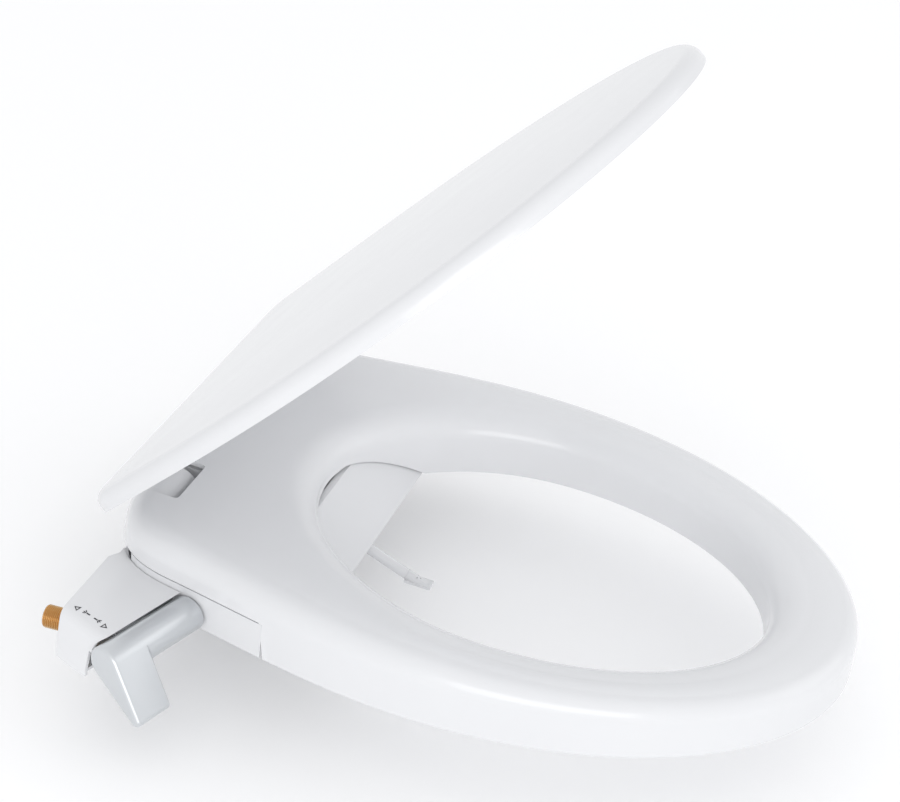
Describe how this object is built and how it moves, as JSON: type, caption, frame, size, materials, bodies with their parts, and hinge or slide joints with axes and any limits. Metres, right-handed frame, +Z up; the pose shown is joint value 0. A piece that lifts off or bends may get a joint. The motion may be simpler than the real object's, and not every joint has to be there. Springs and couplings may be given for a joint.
{
  "type": "bidet seat",
  "caption": "Toilet seat with an open soft-close lid, a side control box with a turning lever, a threaded water inlet and a sliding wash nozzle",
  "frame": {"origin": "midway between the two fixing bolts, on the top face of the toilet bowl", "axes": "+Z up, -Y toward the front of the seat, +X toward the side away from the lever"},
  "size_m": [0.4421, 0.5318, 0.4825],
  "materials": {
    "white_plastic": "glossy white moulded polypropylene",
    "grey_plastic": "light grey moulded plastic",
    "hose_plastic": "plain moulded plastic",
    "dark_print": "dark printed ink",
    "satin_silver": "satin silver",
    "steel": "plain stainless steel",
    "brass": "turned brass",
    "rubber": "soft grey rubber"
  },
  "bodies": {
    "base": {"mounting_plate": "steel", "base_tray": "white_plastic", "base_cover": "white_plastic", "hinge_tower_left": "grey_plastic", "hinge_tower_right": "grey_plastic", "hinge_pin_left": "steel", "hinge_pin_right": "steel", "fixing_bolt_left": "steel", "fixing_bolt_right": "steel", "control_shell": "white_plastic", "control_base": "white_plastic", "control_screws": "steel", "wash_marks": "dark_print", "inlet_fitting": "brass", "inlet_washer": "rubber", "supply_hose": "hose_plastic", "selector_valve": "hose_plastic", "nozzle_hose": "hose_plastic", "nozzle_guide": "hose_plastic"},
    "lever": {"lever_grip": "satin_silver", "lever_spindle": "steel"},
    "wand": {"nozzle_wand": "white_plastic", "nozzle_tip": "white_plastic"},
    "seat": {"seat_ring": "white_plastic", "seat_underplate": "white_plastic", "seat_hinge_left": "white_plastic", "seat_hinge_right": "white_plastic", "seat_bumper_front_left": "rubber", "seat_bumper_front_right": "rubber", "seat_bumper_rear_left": "rubber", "seat_bumper_rear_right": "rubber"},
    "lid": {"lid": "white_plastic", "lid_arm_left": "grey_plastic", "lid_arm_right": "grey_plastic", "lid_bumper_left": "rubber", "lid_bumper_right": "rubber"}
  },
  "joints": [
    {"name": "seat_hinge", "type": "hinge", "parent": "base", "child": "seat", "pos_m": [0, 0.056, 0.026], "axis": [-1, 0, 0], "range_deg": [0, 92]},
    {"name": "lid_hinge", "type": "hinge", "parent": "seat", "child": "lid", "pos_m": [0, 0.056, 0.026], "axis": [-1, 0, 0], "range_deg": [-49.2, 45.6]},
    {"name": "lever_turn", "type": "hinge", "parent": "base", "child": "lever", "pos_m": [-0.164, -0.0066, 0.0155], "axis": [-0.9511, 0.309, 0], "range_deg": [-20, 20]},
    {"name": "wand_slide", "type": "slide", "parent": "base", "child": "wand", "axis": [0, 0.9304, 0.3665], "range_m": [0, 0.049]}
  ]
}
